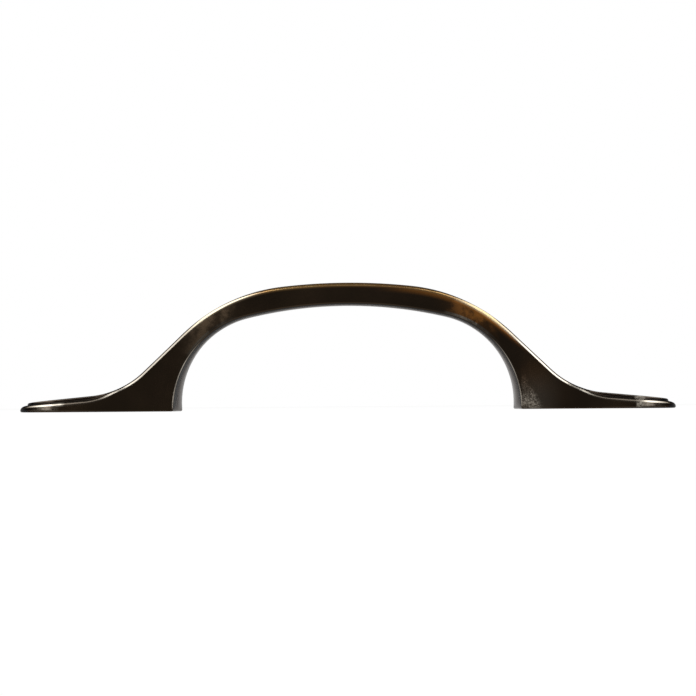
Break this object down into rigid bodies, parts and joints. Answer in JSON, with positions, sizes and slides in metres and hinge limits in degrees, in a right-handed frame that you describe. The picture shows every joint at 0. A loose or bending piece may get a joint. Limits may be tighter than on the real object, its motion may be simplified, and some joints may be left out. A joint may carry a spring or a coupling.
{
  "type": "bow handle",
  "caption": "Cast bow handle for a cabinet door or drawer, with spoon-shaped feet that carry a raised tongue and blind screw holes in its back.",
  "frame": {"origin": "centre of the flat back plane, midway between the two screw holes", "axes": "+X along the handle, +Z away from the door towards the top of the bow, +Y across the bow"},
  "size_m": [0.162, 0.0208, 0.0314],
  "materials": {
    "dark_bronze": "dark antique bronze plating on a zinc casting, rubbed to copper gold along the edges"
  },
  "bodies": {
    "root": {"bow_handle": "dark_bronze"}
  },
  "joints": []
}
